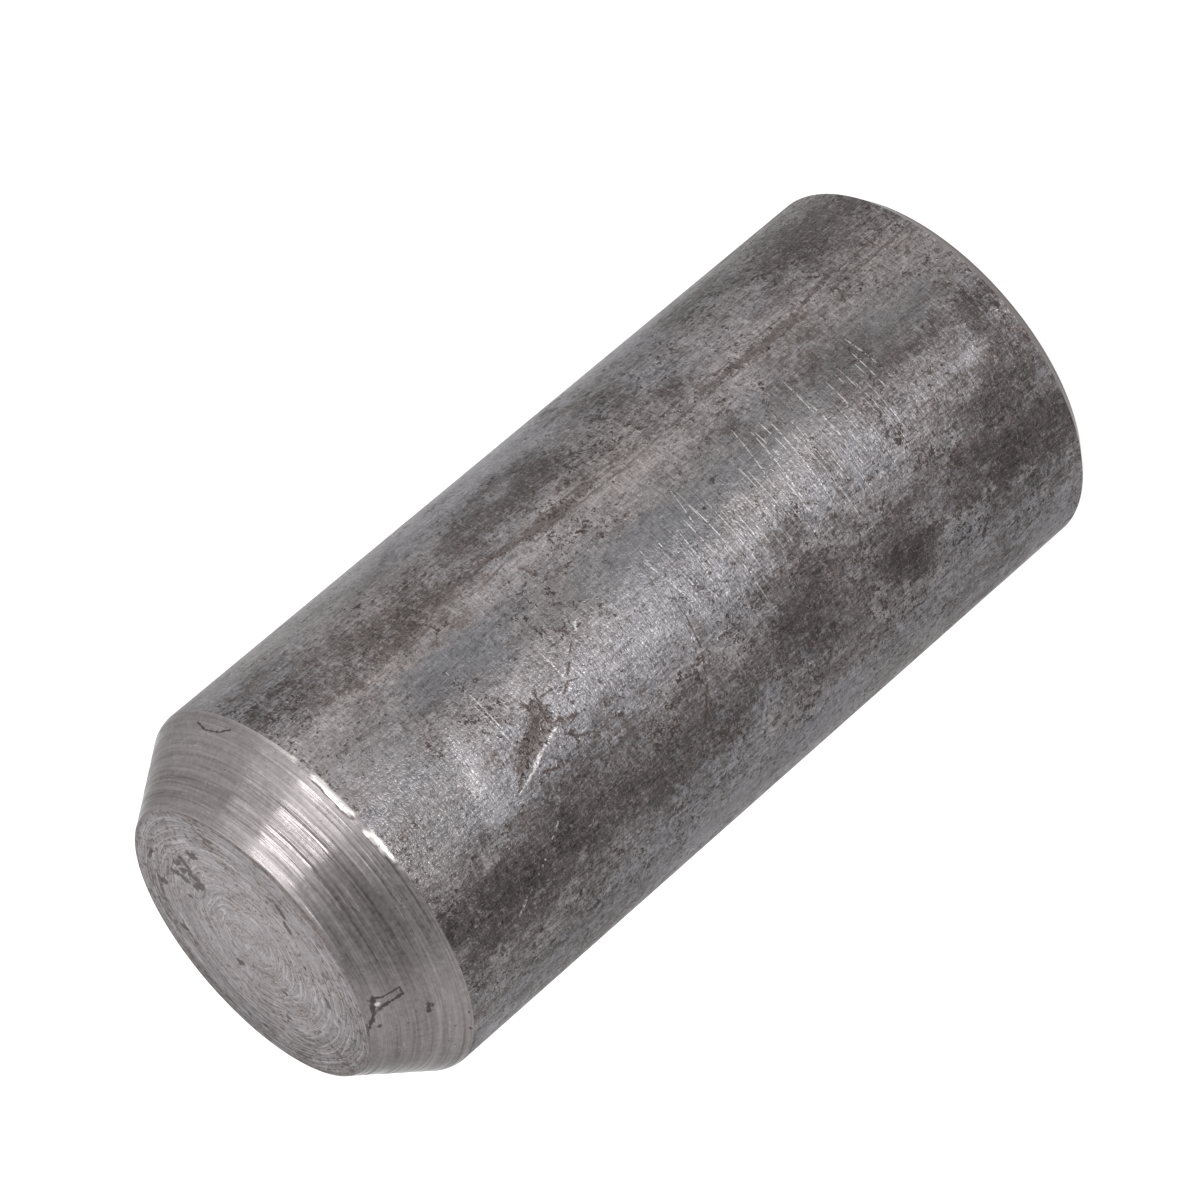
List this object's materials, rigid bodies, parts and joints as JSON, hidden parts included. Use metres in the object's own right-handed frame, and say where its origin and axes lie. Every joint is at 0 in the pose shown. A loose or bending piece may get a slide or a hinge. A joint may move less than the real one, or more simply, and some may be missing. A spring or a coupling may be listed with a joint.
{
  "type": "dowel pin",
  "caption": "Short solid steel dowel pin with a long turned lead-in cone at its nose and a small chamfer round its foot.",
  "frame": {"origin": "centre of the foot's flat end, on the pin's axis", "axes": "+Z along the pin's axis, from the foot to the nose; X and Y are any two directions across it"},
  "size_m": [0.016, 0.016, 0.036],
  "materials": {
    "bare_steel": "bare turned bar with patches of dark mill scale, pits and fine scratches round it"
  },
  "bodies": {
    "root": {"dowel_pin": "bare_steel"}
  },
  "joints": []
}
